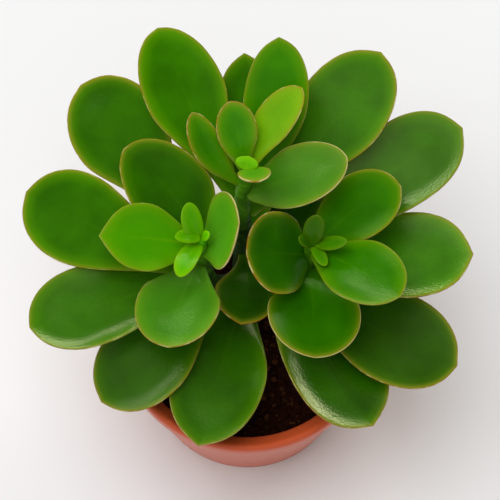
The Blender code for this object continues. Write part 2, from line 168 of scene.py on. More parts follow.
# Leaf finish: tone of the skin, how light the skin is (partly its own lightness, partly painted
# shade and painted light for where the leaf lies), waxy bloom (partly a painted sheen), redness of
# the margin, gloss, height of the lip in mm, and the slope at which the end closes in its corner
FINISH = {
    "leaf_01": ("mature", 1.28, 0.00, 0.60, 0.20, 0.9, 4.0),
    "leaf_02": ("mature", 1.03, 0.05, 1.10, 0.10, 1.1, 4.0),
    "leaf_03": ("mature", 1.22, 0.00, 0.70, 0.15, 1.0, 4.0),
    "leaf_04": ("mature", 1.20, 0.12, 0.50, 1.10, 2.3, 3.6),
    "leaf_05": ("mature", 0.84, 0.05, 0.70, 0.45, 1.8, 3.4),
    "leaf_06": ("mature", 1.12, 0.05, 0.40, 1.30, 2.0, 2.2),
    "leaf_07": ("mature", 0.88, 0.00, 0.80, 1.80, 1.5, 2.6),
    "leaf_08": ("mature", 0.66, 0.12, 0.90, 0.50, 1.1, 3.4),
    "leaf_09": ("mature", 1.40, 0.10, 0.90, 1.40, 1.5, 2.6),
    "leaf_10": ("mature", 1.12, 0.12, 0.50, 1.10, 1.6, 2.6),
    "leaf_11": ("mature", 1.28, 0.15, 0.90, 0.45, 1.1, 2.8),
    "leaf_12": ("fresh", 1.06, 0.00, 0.30, 0.30, 0.8, 2.2),
    "leaf_13": ("mature", 1.08, 0.00, 0.40, 0.10, 0.8, 1.7),
    "leaf_14": ("mature", 0.84, 0.00, 0.60, 0.20, 0.9, 4.0),
    "leaf_15": ("young", 0.87, 0.00, 0.15, 0.40, 0.8, 1.7),
    "leaf_16": ("young", 1.32, 0.35, 1.00, 0.50, 1.0, 3.5),
    "leaf_17": ("fresh", 1.24, 0.40, 0.80, 0.30, 1.2, 6.0),
    "leaf_18": ("mature", 0.52, 0.00, 0.90, 0.10, 1.0, 3.0),
    "leaf_19": ("fresh", 0.58, 0.00, 1.00, 0.25, 1.3, 6.0),
    "leaf_20": ("fresh", 0.88, 0.00, 0.25, 0.35, 1.0, 4.0),
    "leaf_21": ("fresh", 0.80, 0.00, 0.50, 0.15, 0.9, 4.0),
    "leaf_22": ("fresh", 0.72, 0.00, 0.90, 0.20, 1.4, 8.0),
    "leaf_23": ("fresh", 1.08, 0.00, 0.80, 0.50, 0.8, 2.4),
    "leaf_24": ("fresh", 1.27, 0.00, 0.90, 0.50, 0.7, 3.5),
    "leaf_25": ("tender", 1.03, 0.05, 0.70, 0.40, 0.7, 2.2),
    "leaf_26": ("fresh", 0.95, 0.45, 0.90, 0.35, 1.3, 4.0),
    "leaf_27": ("mature", 0.40, 0.00, 0.60, 0.30, 1.0, 4.0),
    "leaf_28": ("mature", 1.60, 0.00, 0.60, 0.30, 1.0, 4.0),
}

# Leaves whose margin line turns pale cream in places, a painted highlight of the rounded edge, and
# the share of it
PALE_EDGE_HIGHLIGHT = {"leaf_16": 0.7, "leaf_22": 0.9, "leaf_26": 0.9}

# Shoot tips: shoot, and its small leaves as
# heading, rise, length, width, roll, arch, sway, widest, pinch, thickness,
# and how far the root lies above the tip's end and ahead of it, in mm
BUDS = {
    "bud_left": ("left", [
        (116, 60, 21, 8, 0, 0.038, 0.060, 0.61, 0.8, 2.2, 0.4, 0.0),
        (244, 22, 19.5, 8, 1, 0.044, -0.050, 0.58, 0.7, 2.2, 1.0, 0.0),
        (187, 26, 11, 5.4, -2, 0.042, -0.040, 0.50, 0.7, 1.8, 4.8, 0.0),
        (15, 58, 6.5, 3.8, 0, 0.040, 0.0, 0.60, 1.4, 1.6, 3.2, 0.0),
    ]),
    "bud_back": ("back", [
        (295, 45, 15, 12.5, -14, 0.060, 0.0, 0.60, 1.2, 2.4, 0.8, 0.0),
        (76, 24, 5.6, 8.6, 0, 0.070, 0.0, 0.50, 0.8, 2.4, 4.4, -2.4),
        (200, 62, 4.5, 4.2, 0, 0.040, 0.0, 0.60, 1.4, 1.6, 1.6, 0.0),
    ]),
    "bud_right": ("right", [
        (68, 62, 17, 7.8, 2, 0.041, 0.010, 0.60, 0.8, 2.2, 1.0, -1.6),
        (348, 35, 15.5, 5.8, 0, 0.035, -0.057, 0.58, 0.8, 2.0, 2.4, 0.8),
        (296, 23, 13, 4.7, 0, 0.042, 0.010, 0.59, 0.8, 1.8, 1.0, 0.0),
        (185, 50, 8, 5.2, 0, 0.037, 0.060, 0.56, 0.8, 1.6, 1.8, 0.0),
    ]),
}

# Tip finish, one row for each small leaf: how light the skin is (partly painted shade and painted
# light for where it lies), waxy bloom (partly a painted sheen), redness of the margin
BUD_FINISH = {
    "bud_left": [(1.26, 0.0, 0.03), (1.32, 0.0, 0.1), (1.12, 0.0, 0.03), (1.50, 0.0, 0.03)],
    "bud_back": [(1.00, 0.3, 1.0), (1.34, 0.0, 0.05), (1.25, 0.0, 0.05)],
    "bud_right": [(0.40, 0.0, 0.03), (0.60, 0.0, 0.03), (0.76, 0.0, 0.03), (0.46, 0.0, 0.02)],
}

# The same for all small leaves of the tips: gloss, lip in mm, corner, where the blade starts
# along its length, and half the width of its neck
TIP_GLOSS = 0.3
TIP_LIP = 0.25
TIP_CORNER = 4.0
TIP_START = 0.02
TIP_NECK = 1.6 * MM

# Growing point inside each tip: half its size, how far it stands above the stem's end,
# and the skin values of a leaf's face well inside the margin
CORE_SIZE = (2.0 * MM, 2.0 * MM, 2.6 * MM)
CORE_SECTION = 32
CORE_RINGS = 20
CORE_RISE = 2.0 * MM
CORE_SKIN = {"rim": 5.0, "along": 0.1, "across": 3.0, "upper": 1.0}

# Faces round a blade and along it, and steps along its outline.
# Rings lie closer together towards the tip, by the power RING_SPREAD.
LEAF_SECTION = 64
LEAF_RINGS = 66
BUD_SECTION = 36
BUD_RINGS = 34
OUTLINE_STEPS = 160
RING_SPREAD = 1.7

# Blade outline: width at the root as a share of the greatest, the two powers that round
# the far end, and the power that blends it into its corner
ROOT_WIDTH = 0.2
END_POWERS = (2.25, 0.56)
CORNER_BLEND = 5

# Where a leaf starts and half its neck, as shares of the stem's radius.
# A blade with a full base, whose pinch is low, clasps the stem: its neck is wider and
# widens faster.
LEAF_START = 0.45
LEAF_NECK = 0.75
FULL_BASE_PINCH = 0.85
FULL_NECK = (1.7, 1.4)
PLAIN_NECK = (1.0, 0.9)

# Blade section: the power of its width, height and power of the upper and the lower skin,
# and how much thinner it gets towards the tip
SIDE_POWER = 0.85
UPPER_SKIN = (0.75, 0.5)
LOWER_SKIN = (1.15, 0.8)
TIP_THINNING = 0.45

# Blade relief: cup as a share of the width, reach of the lip, depth and half width of the
# channel over the midrib, and size and height of the waves on a blade 35 mm wide.
# The lip and the waves rise, and the channel dies out, between two shares of the length.
CUP = 0.032
LIP_REACH = 9.0 * MM
LIP_RISE = (0.22, 0.47)
CHANNEL_DEPTH = 0.35 * MM
CHANNEL_WIDTH = 1.6 * MM
CHANNEL_FADE = (0.75, 0.0)
WAVE_SIZE = 16 * MM
WAVE_HEIGHT = 0.5 * MM
WAVE_BLADE = 35 * MM
WAVE_RISE = (0.15, 0.45)
# The margin's bands narrow with the leaf below this width
SMALL_LEAF = 12 * MM

# Skin tones: deep green, face green, green near the margin (also the painted glow there), underside
TONES = {
    "mature": ("#245800", "#306A00", "#5E9400", "#4A7A14"),
    "fresh": ("#2A7000", "#388200", "#6AA000", "#5A8C1C"),
    "young": ("#3E8E00", "#4C9C00", "#7AAC02", "#74A424"),
    "tender": ("#5E9C06", "#72AE08", "#92B812", "#84B032"),
}
OLIVE = "#948E22"
BLUSH = "#985E18"
# Pale cream of the margin line where it is drawn as a painted highlight of the rounded edge
BLUSH_HIGHLIGHT = "#CDBB80"
# Colour of the waxy bloom, partly a painted sheen
WAX_AND_SHEEN = "#6A9236"

# Stem, green when young and cork lower down, each as its dark and its light patches. The cork is
# near black and starts high under the crown: it is partly painted shade under the leaves.
STEM_GREEN = ("#438206", "#62A80A")
STEM_CORK_SHADE = ("#112A04", "#26440A")

# Soil and its loose crumbs: dark, light, and size of the grain
PEAT = {
    "peat_soil": ("#120502", "#2E1408", 2.5 * MM),
    "peat_crumbs": ("#180803", "#55321C", 6.0 * MM),
}
# Moulded pot and backdrop paper: the two shades between which each varies
POT_ORANGE = ("#C24E26", "#CC582E")
PAPER_WHITE = ("#EBEBEB", "#EFEFEF")

# Margin of a leaf in mm: the pale zone, partly painted glow of light through the thin margin,
# the olive band where nothing is red, and the least and greatest width of the line
PALE_GLOW_ZONE = 6.0
OLIVE_BAND = 1.5
LINE_WIDTH = (0.22, 0.60)

# Pattern sizes: cloudy green, wax patches (partly painted sheen), wander of the margin line and
# pores of a leaf, cork patches and cracks of the stem, unevenness and grain of the moulded pot, and
# paper
CLOUD_SIZE = 14 * MM
WAX_SHEEN_SIZE = 25 * MM
WANDER_SIZE = 5 * MM
PORE_SIZE = 1.0 * MM
CORK_SIZE = 6 * MM
CRACK_SIZE = (1.6 * MM, 1.6 * MM, 6 * MM)
CAST_SIZE = 30 * MM
MOULD_GRAIN = 0.8 * MM
PULP_SIZE = 200 * MM

# Node settings that come more than once
COLOURS = {"data_type": "RGBA"}
SMOOTH = {"interpolation_type": "SMOOTHSTEP"}
TIMES = {"operation": "MULTIPLY"}


# Small helpers

def colour(code):
    # sRGB hex value as a linear colour
    parts = [int(code[i:i + 2], 16) / 255 for i in (1, 3, 5)]
    linear = [p / 12.92 if p <= 0.04045 else ((p + 0.055) / 1.055) ** 2.4 for p in parts]
    return (*linear, 1.0)


def ramp(value, start, end):
    # 0 at the start, 1 at the end, and held beyond them
    return np.clip((value - start) / (end - start), 0, 1)


def deselect():
    if bpy.context.mode != "OBJECT":
        bpy.ops.object.mode_set(mode="OBJECT")
    bpy.ops.object.select_all(action="DESELECT")


def only(obj):
    deselect()
    obj.select_set(True)
    bpy.context.view_layer.objects.active = obj


def rename(name):
    obj = bpy.context.active_object
    obj.name = name
    obj.data.name = name
    return obj


def join(pieces, name):
    deselect()
    for piece in pieces:
        piece.select_set(True)
    bpy.context.view_layer.objects.active = pieces[0]
    bpy.ops.object.transform_apply(location=True, rotation=True, scale=True)
    bpy.ops.object.join()
    return rename(name)


def select_end(obj, way):
    # Selects the flat end that looks up (1) or down (-1), and stays in edit mode
    bpy.ops.object.mode_set(mode="EDIT")
    bpy.ops.mesh.select_all(action="DESELECT")
    bpy.ops.object.mode_set(mode="OBJECT")
    for face in obj.data.polygons:
        face.select = face.normal.z * way > 0.5
    bpy.ops.object.mode_set(mode="EDIT")


def apply_modifier(obj, kind, **settings):
    only(obj)
    modifier = obj.modifiers.new(kind.lower(), kind)
    for key, value in settings.items():
        setattr(modifier, key, value)
    bpy.ops.object.modifier_apply(modifier=modifier.name)


def tidy_skin(obj, merge=True):
    # Doubles merged, faces out, shaded smooth
    only(obj)
    bpy.ops.object.mode_set(mode="EDIT")
    bpy.ops.mesh.select_all(action="SELECT")
    if merge:
        bpy.ops.mesh.remove_doubles(threshold=0.005 * MM)
    bpy.ops.mesh.normals_make_consistent(inside=False)
    bpy.ops.object.mode_set(mode="OBJECT")
    bpy.ops.object.shade_smooth()


def write_attribute(obj, name, values):
    layer = obj.data.attributes.new(name, "FLOAT", "POINT")
    layer.data.foreach_set("value", np.asarray(values, dtype=np.float32))


def add_node(tree, kind, settings=None, **links):
    # Adds a node. A socket is named by its words, with _ for a space, or as input_ and its
    # number, and takes a value or another socket.
    node = tree.nodes.new(kind)
    for key, value in (settings or {}).items():
        setattr(node, key, value)
    for key, value in links.items():
        if key.startswith("input_"):
            socket = node.inputs[int(key[6:])]
        else:
            socket = node.inputs[key.replace("_", " ")]
        if isinstance(value, bpy.types.NodeSocket):
            tree.links.new(value, socket)
        else:
            socket.default_value = value
    return node


def new_material(name):
    material = bpy.data.materials.new(name)
    material.use_nodes = True
    return material, material.node_tree, material.node_tree.nodes["Principled BSDF"]


# Materials

def jade_leaf(name, tone, lightness_with_shade, bloom_and_sheen, redness, gloss, edge_highlight_share=0.0):
    # Leaf of a jade plant: thick cuticle with a thin wax. It gives the eye a deep green that pales
    # towards the margin, partly as painted glow, an orange-brown line along it with a painted
    # highlight on some pale edges, a waxy bloom that is partly a painted sheen, and a soft broken
    # gloss.
    # All tones are scaled by the leaf's lightness, which holds painted shade and painted light for
    # its place
    deep, face, light, under = [
        tuple(share * lightness_with_shade for share in colour(code)[:3]) + (1.0,) for code in TONES[tone]
    ]
    material, tree, shader = new_material(name)
    place = add_node(tree, "ShaderNodeTexCoord").outputs["Object"]
    rim, along, across, upper = [
        add_node(tree, "ShaderNodeAttribute", {"attribute_name": word}).outputs["Fac"]
        for word in ("rim", "along", "across", "upper")
    ]

    # Cloudy green
    clouds = add_node(
        tree, "ShaderNodeTexNoise", Vector=place, Scale=1 / CLOUD_SIZE, Detail=3.0, Roughness=0.5
    ).outputs["Fac"]
    clouds = add_node(
        tree, "ShaderNodeMapRange", Value=clouds, From_Min=0.3, From_Max=0.7
    ).outputs["Result"]
    green = add_node(
        tree, "ShaderNodeMix", COLOURS, input_0=clouds, input_6=deep, input_7=face
    ).outputs[2]

    # Paler towards the margin: partly the skin's own colour, partly painted light glowing through
    # the thin margin and painted shade in the middle of the cup
    pale_glow = add_node(
        tree, "ShaderNodeMapRange", SMOOTH,
        Value=rim, From_Min=0.0, From_Max=PALE_GLOW_ZONE, To_Min=0.4, To_Max=0.0
    ).outputs["Result"]
    green = add_node(
        tree, "ShaderNodeMix", COLOURS, input_0=pale_glow, input_6=green, input_7=light
    ).outputs[2]

    # Olive along the margin, wider and deeper on redder leaves, and faint near the root
    band = add_node(
        tree, "ShaderNodeMapRange",
        Value=rim, From_Min=0.0, From_Max=OLIVE_BAND + redness, To_Min=1.0, To_Max=0.0
    ).outputs["Result"]
    band = add_node(
        tree, "ShaderNodeMath", {"operation": "POWER"}, input_0=band, input_1=1.5
    ).outputs[0]
    most = (0.42 + 0.4 * redness) * min(1.0, 7 * redness)
    olive = add_node(
        tree, "ShaderNodeMapRange",
        Value=along, From_Min=0.2, From_Max=0.6, To_Min=most / 3, To_Max=most
    ).outputs["Result"]
    band = add_node(tree, "ShaderNodeMath", TIMES, input_0=band, input_1=olive).outputs[0]
    green = add_node(
        tree, "ShaderNodeMix", COLOURS, input_0=band, input_6=green, input_7=colour(OLIVE)
    ).outputs[2]

    # Faint midrib, 1.8 mm wide, that dies out towards the tip
    rib = add_node(
        tree, "ShaderNodeMapRange", SMOOTH, Value=across,
        From_Min=0.0, From_Max=0.9, To_Min=0.28 if tone == "young" else 0.12, To_Max=0.0
    ).outputs["Result"]
    rib_end = add_node(
        tree, "ShaderNodeMapRange",
        Value=along, From_Min=0.35, From_Max=0.8, To_Min=1.0, To_Max=0.0
    ).outputs["Result"]
    rib = add_node(tree, "ShaderNodeMath", TIMES, input_0=rib, input_1=rib_end).outputs[0]
    green = add_node(
        tree, "ShaderNodeMix", COLOURS, input_0=rib, input_6=green, input_7=light
    ).outputs[2]

    # Wax bloom: greyer in patches where the wax lies thick, partly real bloom and partly a painted
    # sheen
    wax_and_sheen = add_node(
        tree, "ShaderNodeTexNoise", Vector=place, Scale=1 / WAX_SHEEN_SIZE, Detail=2.0, Roughness=0.6
    ).outputs["Fac"]
    wax_and_sheen = add_node(
        tree, "ShaderNodeMapRange",
        Value=wax_and_sheen, From_Min=0.3, From_Max=0.7, To_Min=0.3 * bloom_and_sheen, To_Max=bloom_and_sheen
    ).outputs["Result"]
    green = add_node(
        tree, "ShaderNodeMix", COLOURS, input_0=wax_and_sheen, input_6=green, input_7=colour(WAX_AND_SHEEN)
    ).outputs[2]

    # Underside paler than the face
    green = add_node(
        tree, "ShaderNodeMix", COLOURS, input_0=upper, input_6=under, input_7=green
    ).outputs[2]

    # Margin line of a wandering width, faint near the root, with a lighter edge in places that is a
    # painted highlight of the rounded edge catching light
    wander = add_node(
        tree, "ShaderNodeTexNoise", Vector=place, Scale=1 / WANDER_SIZE, Detail=2.0, Roughness=0.6
    ).outputs["Fac"]
    width = add_node(
        tree, "ShaderNodeMapRange", Value=wander,
        From_Min=0.3, From_Max=0.7, To_Min=LINE_WIDTH[0], To_Max=LINE_WIDTH[1]
    ).outputs["Result"]
    line = add_node(
        tree, "ShaderNodeMath", {"operation": "DIVIDE", "use_clamp": True},
        input_0=rim, input_1=width
    ).outputs[0]
    line = add_node(
        tree, "ShaderNodeMapRange", SMOOTH,
        Value=line, From_Min=0.1, From_Max=1.0, To_Min=0.85 * redness, To_Max=0.0
    ).outputs["Result"]
    reach = add_node(
        tree, "ShaderNodeMapRange",
        Value=along, From_Min=0.25, From_Max=0.65, To_Min=0.2, To_Max=1.0
    ).outputs["Result"]
    line = add_node(tree, "ShaderNodeMath", TIMES, input_0=line, input_1=reach).outputs[0]
    edge_highlight = add_node(
        tree, "ShaderNodeMapRange", Value=wander, From_Min=0.45, From_Max=0.62, To_Min=edge_highlight_share
    ).outputs["Result"]
    edge = add_node(
        tree, "ShaderNodeMix", COLOURS,
        input_0=edge_highlight, input_6=colour(BLUSH), input_7=colour(BLUSH_HIGHLIGHT)
    ).outputs[2]
    green = add_node(
        tree, "ShaderNodeMix", COLOURS, input_0=line, input_6=green, input_7=edge
    ).outputs[2]
    tree.links.new(green, shader.inputs["Base Color"])

    # Pores 0.25 mm apart are too fine to show, so they are drawn 1 mm apart
    pores = add_node(
        tree, "ShaderNodeTexNoise", Vector=place, Scale=1 / PORE_SIZE, Detail=2.0, Roughness=0.6
    ).outputs["Fac"]
    bump = add_node(
        tree, "ShaderNodeBump", Strength=0.6, Distance=0.14 * MM, Height=pores
    ).outputs["Normal"]
    tree.links.new(bump, shader.inputs["Normal"])
    rough = add_node(
        tree, "ShaderNodeMapRange",
        Value=pores, From_Min=0.35, From_Max=0.65, To_Min=0.15, To_Max=0.22
    ).outputs["Result"]
    tree.links.new(rough, shader.inputs["Roughness"])
    shader.inputs["IOR"].default_value = 1.5
    shader.inputs["Specular IOR Level"].default_value = 0.5 * gloss
    shader.inputs["Specular Tint"].default_value = (1.0, 1.0, 0.55, 1.0)

    # Light goes 1.5 mm deep into the flesh, green furthest
    shader.inputs["Subsurface Weight"].default_value = 0.12
    shader.inputs["Subsurface Radius"].default_value = (0.6, 1.0, 0.15)
    shader.inputs["Subsurface Scale"].default_value = 1.5 * MM
    return material


def stem_skin():
    # Stem of a jade plant: a dull skin, green when young, that turns to rough dark cork lower down;
    # the darkness there is partly painted shade under the leaves
    material, tree, shader = new_material("jade_stem")
    place = add_node(tree, "ShaderNodeTexCoord").outputs["Object"]
    height = add_node(tree, "ShaderNodeSeparateXYZ", Vector=place).outputs["Z"]
    patches = add_node(
        tree, "ShaderNodeTexNoise", Vector=place, Scale=1 / CORK_SIZE, Detail=4.0, Roughness=0.6
    ).outputs["Fac"]
    shifted = add_node(
        tree, "ShaderNodeMath", {"operation": "MULTIPLY_ADD"},
        input_0=patches, input_1=50 * MM, input_2=height
    ).outputs[0]
    # Green above, near-black cork below the crown: real cork, darkened as painted shade under the
    # leaves
    age_and_shade = add_node(
        tree, "ShaderNodeMapRange",
        Value=shifted, From_Min=130 * MM, From_Max=165 * MM, To_Min=1.0, To_Max=0.0
    ).outputs["Result"]
    tint, cork_shade = [
        add_node(
            tree, "ShaderNodeMix", COLOURS,
            input_0=patches, input_6=colour(dark), input_7=colour(light)
        ).outputs[2]
        for dark, light in (STEM_GREEN, STEM_CORK_SHADE)
    ]
    skin = add_node(
        tree, "ShaderNodeMix", COLOURS, input_0=age_and_shade, input_6=tint, input_7=cork_shade
    ).outputs[2]
    tree.links.new(skin, shader.inputs["Base Color"])
    # Cracks 1.6 mm apart, drawn out along the stem
    grooves = add_node(
        tree, "ShaderNodeMapping", Vector=place, Scale=tuple(1 / size for size in CRACK_SIZE)
    ).outputs["Vector"]
    cracks = add_node(
        tree, "ShaderNodeTexNoise", Vector=grooves, Scale=1.0, Detail=4.0, Roughness=0.6
    ).outputs["Fac"]
    bump = add_node(
        tree, "ShaderNodeBump", Strength=0.6, Distance=0.4 * MM, Height=cracks
    ).outputs["Normal"]
    tree.links.new(bump, shader.inputs["Normal"])
    shader.inputs["Roughness"].default_value = 0.55
    shader.inputs["Specular IOR Level"].default_value = 0.15
    return material


def peat_potting_soil(name):
    # Peat potting soil, dry on top: dull, nearly black crumbs, and loose ones that differ in shade
    dark, light, grain = PEAT[name]
    material, tree, shader = new_material(name)
    place = add_node(tree, "ShaderNodeTexCoord").outputs["Object"]
    crumbs = add_node(
        tree, "ShaderNodeTexNoise", Vector=place, Scale=1 / grain, Detail=5.0, Roughness=0.65
    ).outputs["Fac"]
    crumbs = add_node(
        tree, "ShaderNodeMapRange", Value=crumbs, From_Min=0.38, From_Max=0.72
    ).outputs["Result"]
    shade = add_node(
        tree, "ShaderNodeMix", COLOURS,
        input_0=crumbs, input_6=colour(dark), input_7=colour(light)
    ).outputs[2]
    tree.links.new(shade, shader.inputs["Base Color"])
    bump = add_node(
        tree, "ShaderNodeBump", Strength=0.8, Distance=0.5 * MM, Height=crumbs
    ).outputs["Normal"]
    tree.links.new(bump, shader.inputs["Normal"])
    shader.inputs["Roughness"].default_value = 0.95
    shader.inputs["Specular IOR Level"].default_value = 0.06
    return material


def moulded_polypropylene():
    # Injection-moulded polypropylene in terracotta: an even orange-red with a satin gloss
    material, tree, shader = new_material("moulded_polypropylene")
    place = add_node(tree, "ShaderNodeTexCoord").outputs["Object"]
    cast = add_node(
        tree, "ShaderNodeTexNoise", Vector=place, Scale=1 / CAST_SIZE, Detail=3.0, Roughness=0.5
    ).outputs["Fac"]
    tint = add_node(
        tree, "ShaderNodeMix", COLOURS,
        input_0=cast, input_6=colour(POT_ORANGE[0]), input_7=colour(POT_ORANGE[1])
    ).outputs[2]
    tree.links.new(tint, shader.inputs["Base Color"])
    # The mould's grain, 0.2 mm across, is too fine to show, so it is drawn 0.8 mm across
    grain = add_node(
        tree, "ShaderNodeTexNoise", Vector=place, Scale=1 / MOULD_GRAIN, Detail=2.0, Roughness=0.5
    ).outputs["Fac"]
    bump = add_node(
        tree, "ShaderNodeBump", Strength=0.12, Distance=0.1 * MM, Height=grain
    ).outputs["Normal"]
    tree.links.new(bump, shader.inputs["Normal"])
    gloss = add_node(
        tree, "ShaderNodeMapRange",
        Value=grain, From_Min=0.3, From_Max=0.7, To_Min=0.30, To_Max=0.38
    ).outputs["Result"]
    tree.links.new(gloss, shader.inputs["Roughness"])
    shader.inputs["IOR"].default_value = 1.49
    shader.inputs["Specular IOR Level"].default_value = 0.35
    return material


def paper_sweep():
    # Matt white backdrop paper: even, with no gloss and the faintest cloudiness
    material, tree, shader = new_material("paper_sweep")
    place = add_node(tree, "ShaderNodeTexCoord").outputs["Object"]
    pulp = add_node(
        tree, "ShaderNodeTexNoise", Vector=place, Scale=1 / PULP_SIZE, Detail=2.0, Roughness=0.5
    ).outputs["Fac"]
    tint = add_node(
        tree, "ShaderNodeMix", COLOURS,
        input_0=pulp, input_6=colour(PAPER_WHITE[0]), input_7=colour(PAPER_WHITE[1])
    ).outputs[2]
    tree.links.new(tint, shader.inputs["Base Color"])
    shader.inputs["Roughness"].default_value = 0.9
    shader.inputs["Specular IOR Level"].default_value = 0.1
    return material


# Camera, lights and floor

def add_camera():
    rise = math.radians(VIEW_ELEVATION)
    away = Vector((0.0, -math.cos(rise), math.sin(rise)))
    bpy.ops.object.camera_add(
        location=Vector(VIEW_TARGET) + away * VIEW_DISTANCE,
        rotation=(math.pi / 2 - rise, 0.0, 0.0),
    )
    camera = bpy.context.active_object
    camera.name = "camera"
    camera.data.lens = LENS
    camera.data.sensor_width = SENSOR_WIDTH
    camera.data.clip_start = CLIP_START
    bpy.context.scene.camera = camera


def add_softbox(name, heading, elevation, distance, size, power, tint):
    # Large panel that faces the plant
    h, e = math.radians(heading), math.radians(elevation)
    away = Vector((math.cos(e) * math.cos(h), math.cos(e) * math.sin(h), math.sin(e)))
    bpy.ops.object.light_add(
        type="AREA", location=Vector(PANEL_TARGET) + away * distance,
        rotation=(-away).to_track_quat("-Z", "Y").to_euler()
    )
    lamp = bpy.context.active_object
    lamp.name = name
    lamp.data.shape = "RECTANGLE"
    lamp.data.size, lamp.data.size_y = size
    lamp.data.energy = power
    lamp.data.color = tint
    # The overhead panel lights the plant but is kept out of its reflections
    lamp.visible_glossy = name != "softbox_over"


def add_room_light():
    # Warm light from the front left, dim behind the plant, where the leaves mirror it
    world = bpy.context.scene.world or bpy.data.worlds.new("studio")
    bpy.context.scene.world = world
    world.use_nodes = True
    tree = world.node_tree
    sky = tree.nodes["Background"]
    way = add_node(tree, "ShaderNodeTexCoord").outputs["Generated"]
    front = add_node(
        tree, "ShaderNodeVectorMath", {"operation": "DOT_PRODUCT"}, input_0=way, input_1=ROOM_WAY
    ).outputs["Value"]
    strength = add_node(
        tree, "ShaderNodeMapRange", SMOOTH,
        Value=front, From_Min=ROOM_FADE[0], From_Max=ROOM_FADE[1],
        To_Min=ROOM_STRENGTH[0], To_Max=ROOM_STRENGTH[1]
    ).outputs["Result"]
    tree.links.new(strength, sky.inputs["Strength"])
    sky.inputs["Color"].default_value = ROOM_TINT


def add_floor():
    bpy.ops.mesh.primitive_grid_add(
        x_subdivisions=8, y_subdivisions=8, size=FLOOR_SIZE, location=(0, 0, 0)
    )
    floor = rename("floor")
    floor.data.materials.append(paper_sweep())


# Pot

def inner_radius(height):
    top = RIM_RADIUS - RIM_OVERHANG
    share = height / (POT_HEIGHT - RIM_DEPTH)
    return BASE_RADIUS + (top - BASE_RADIUS) * share - WALL


def draw_wall(steps):
    # The selected face is drawn through (radius, height) steps by extrude and scale
    radius, height = steps[0]
    for next_radius, next_height in steps[1:]:
        bpy.ops.mesh.extrude_region_move(
            TRANSFORM_OT_translate={"value": (0.0, 0.0, next_height - height)}
        )
        ratio = next_radius / radius
        bpy.ops.transform.resize(
            value=(ratio, ratio, 1.0), center_override=(0.0, 0.0, next_height)
        )
        radius, height = next_radius, next_height


def model_pot():
    deselect()
    bpy.ops.mesh.primitive_cylinder_add(
        vertices=POT_SEGMENTS, radius=FOOT_INNER, depth=START_DISC, end_fill_type="NGON",
        location=(0.0, 0.0, FOOT_RECESS + START_DISC / 2)
    )
    pot = rename("pot_body")
    bpy.ops.object.transform_apply(location=True, rotation=True, scale=True)
    select_end(pot, -1)
    outer = RIM_RADIUS - RIM_OVERHANG
    inner = RIM_RADIUS - RIM_WIDTH
    under = POT_HEIGHT - RIM_DEPTH
    draw_wall([
        # Foot ring
        (FOOT_INNER, FOOT_RECESS),
        (BASE_RADIUS - 2.0 * MM, 0.1 * MM),
        (BASE_RADIUS - 1.6 * MM, 0.0),
        (BASE_RADIUS - 0.5 * MM, 0.0),
        (BASE_RADIUS - 0.05 * MM, 0.3 * MM),
        (BASE_RADIUS + 0.12 * MM, 1.0 * MM),
        # Outside of the wall
        (BASE_RADIUS + 0.45 * MM, 3.0 * MM),
        (BASE_RADIUS + 5.75 * MM, 35.5 * MM),
        (outer - 0.2 * MM, under - 1.4 * MM),
        (outer - 0.04 * MM, under - 0.4 * MM),
        # Lip, from under its overhang over its rounded top
        (outer + 0.2 * MM, under),
        (RIM_RADIUS - 0.30 * MM, under + 0.25 * MM),
        (RIM_RADIUS - 0.05 * MM, under + 0.8 * MM),
        (RIM_RADIUS, under + 1.6 * MM),
        (RIM_RADIUS, POT_HEIGHT - 2.6 * MM),
        (RIM_RADIUS - 0.08 * MM, POT_HEIGHT - 1.7 * MM),
        (RIM_RADIUS - 0.40 * MM, POT_HEIGHT - 0.8 * MM),
        (RIM_RADIUS - 1.00 * MM, POT_HEIGHT - 0.2 * MM),
        (RIM_RADIUS - 1.70 * MM, POT_HEIGHT),
        # Slope down to the inner edge
        (RIM_RADIUS - 2.40 * MM, POT_HEIGHT - 0.15 * MM),
        (RIM_RADIUS - 3.00 * MM, POT_HEIGHT - 0.50 * MM),
        (RIM_RADIUS - 3.70 * MM, POT_HEIGHT - 1.05 * MM),
        (inner + 1.20 * MM, POT_HEIGHT - 2.30 * MM),
        (inner + 0.50 * MM, POT_HEIGHT - 2.95 * MM),
        (inner + 0.10 * MM, POT_HEIGHT - 3.60 * MM),
        (inner, POT_HEIGHT - 4.4 * MM),
        # Inside of the wall and the floor
        (inner_radius(under - 1.0 * MM) + 0.7 * MM, under - 0.6 * MM),
        (inner_radius(under - 3.0 * MM), under - 3.0 * MM),
        (inner_radius(30 * MM), 30 * MM),
        (inner_radius(POT_FLOOR + 2.0 * MM), POT_FLOOR + 2.0 * MM),
        (inner_radius(POT_FLOOR) - 1.0 * MM, POT_FLOOR + 0.4 * MM),
        (inner_radius(POT_FLOOR) - 2.4 * MM, POT_FLOOR),
    ])
    tidy_skin(pot)
    pot.data.materials.append(moulded_polypropylene())
    return pot


# Soil

def soil_height(x, y):
    # The grit reads the noise 10 mm higher up, so that it doesn't follow the lumps
    share = min(1.0, math.hypot(x, y) / inner_radius(SOIL_TOP))
    lumps = LUMP_HEIGHT * noise.noise(Vector((x, y, 0.0)) / LUMP_SIZE)
    grit = GRIT_HEIGHT * noise.noise(Vector((x, y, 10 * MM)) / GRIT_SIZE)
    return SOIL_TOP + SOIL_MOUND * (1 - share ** 2) + lumps + grit


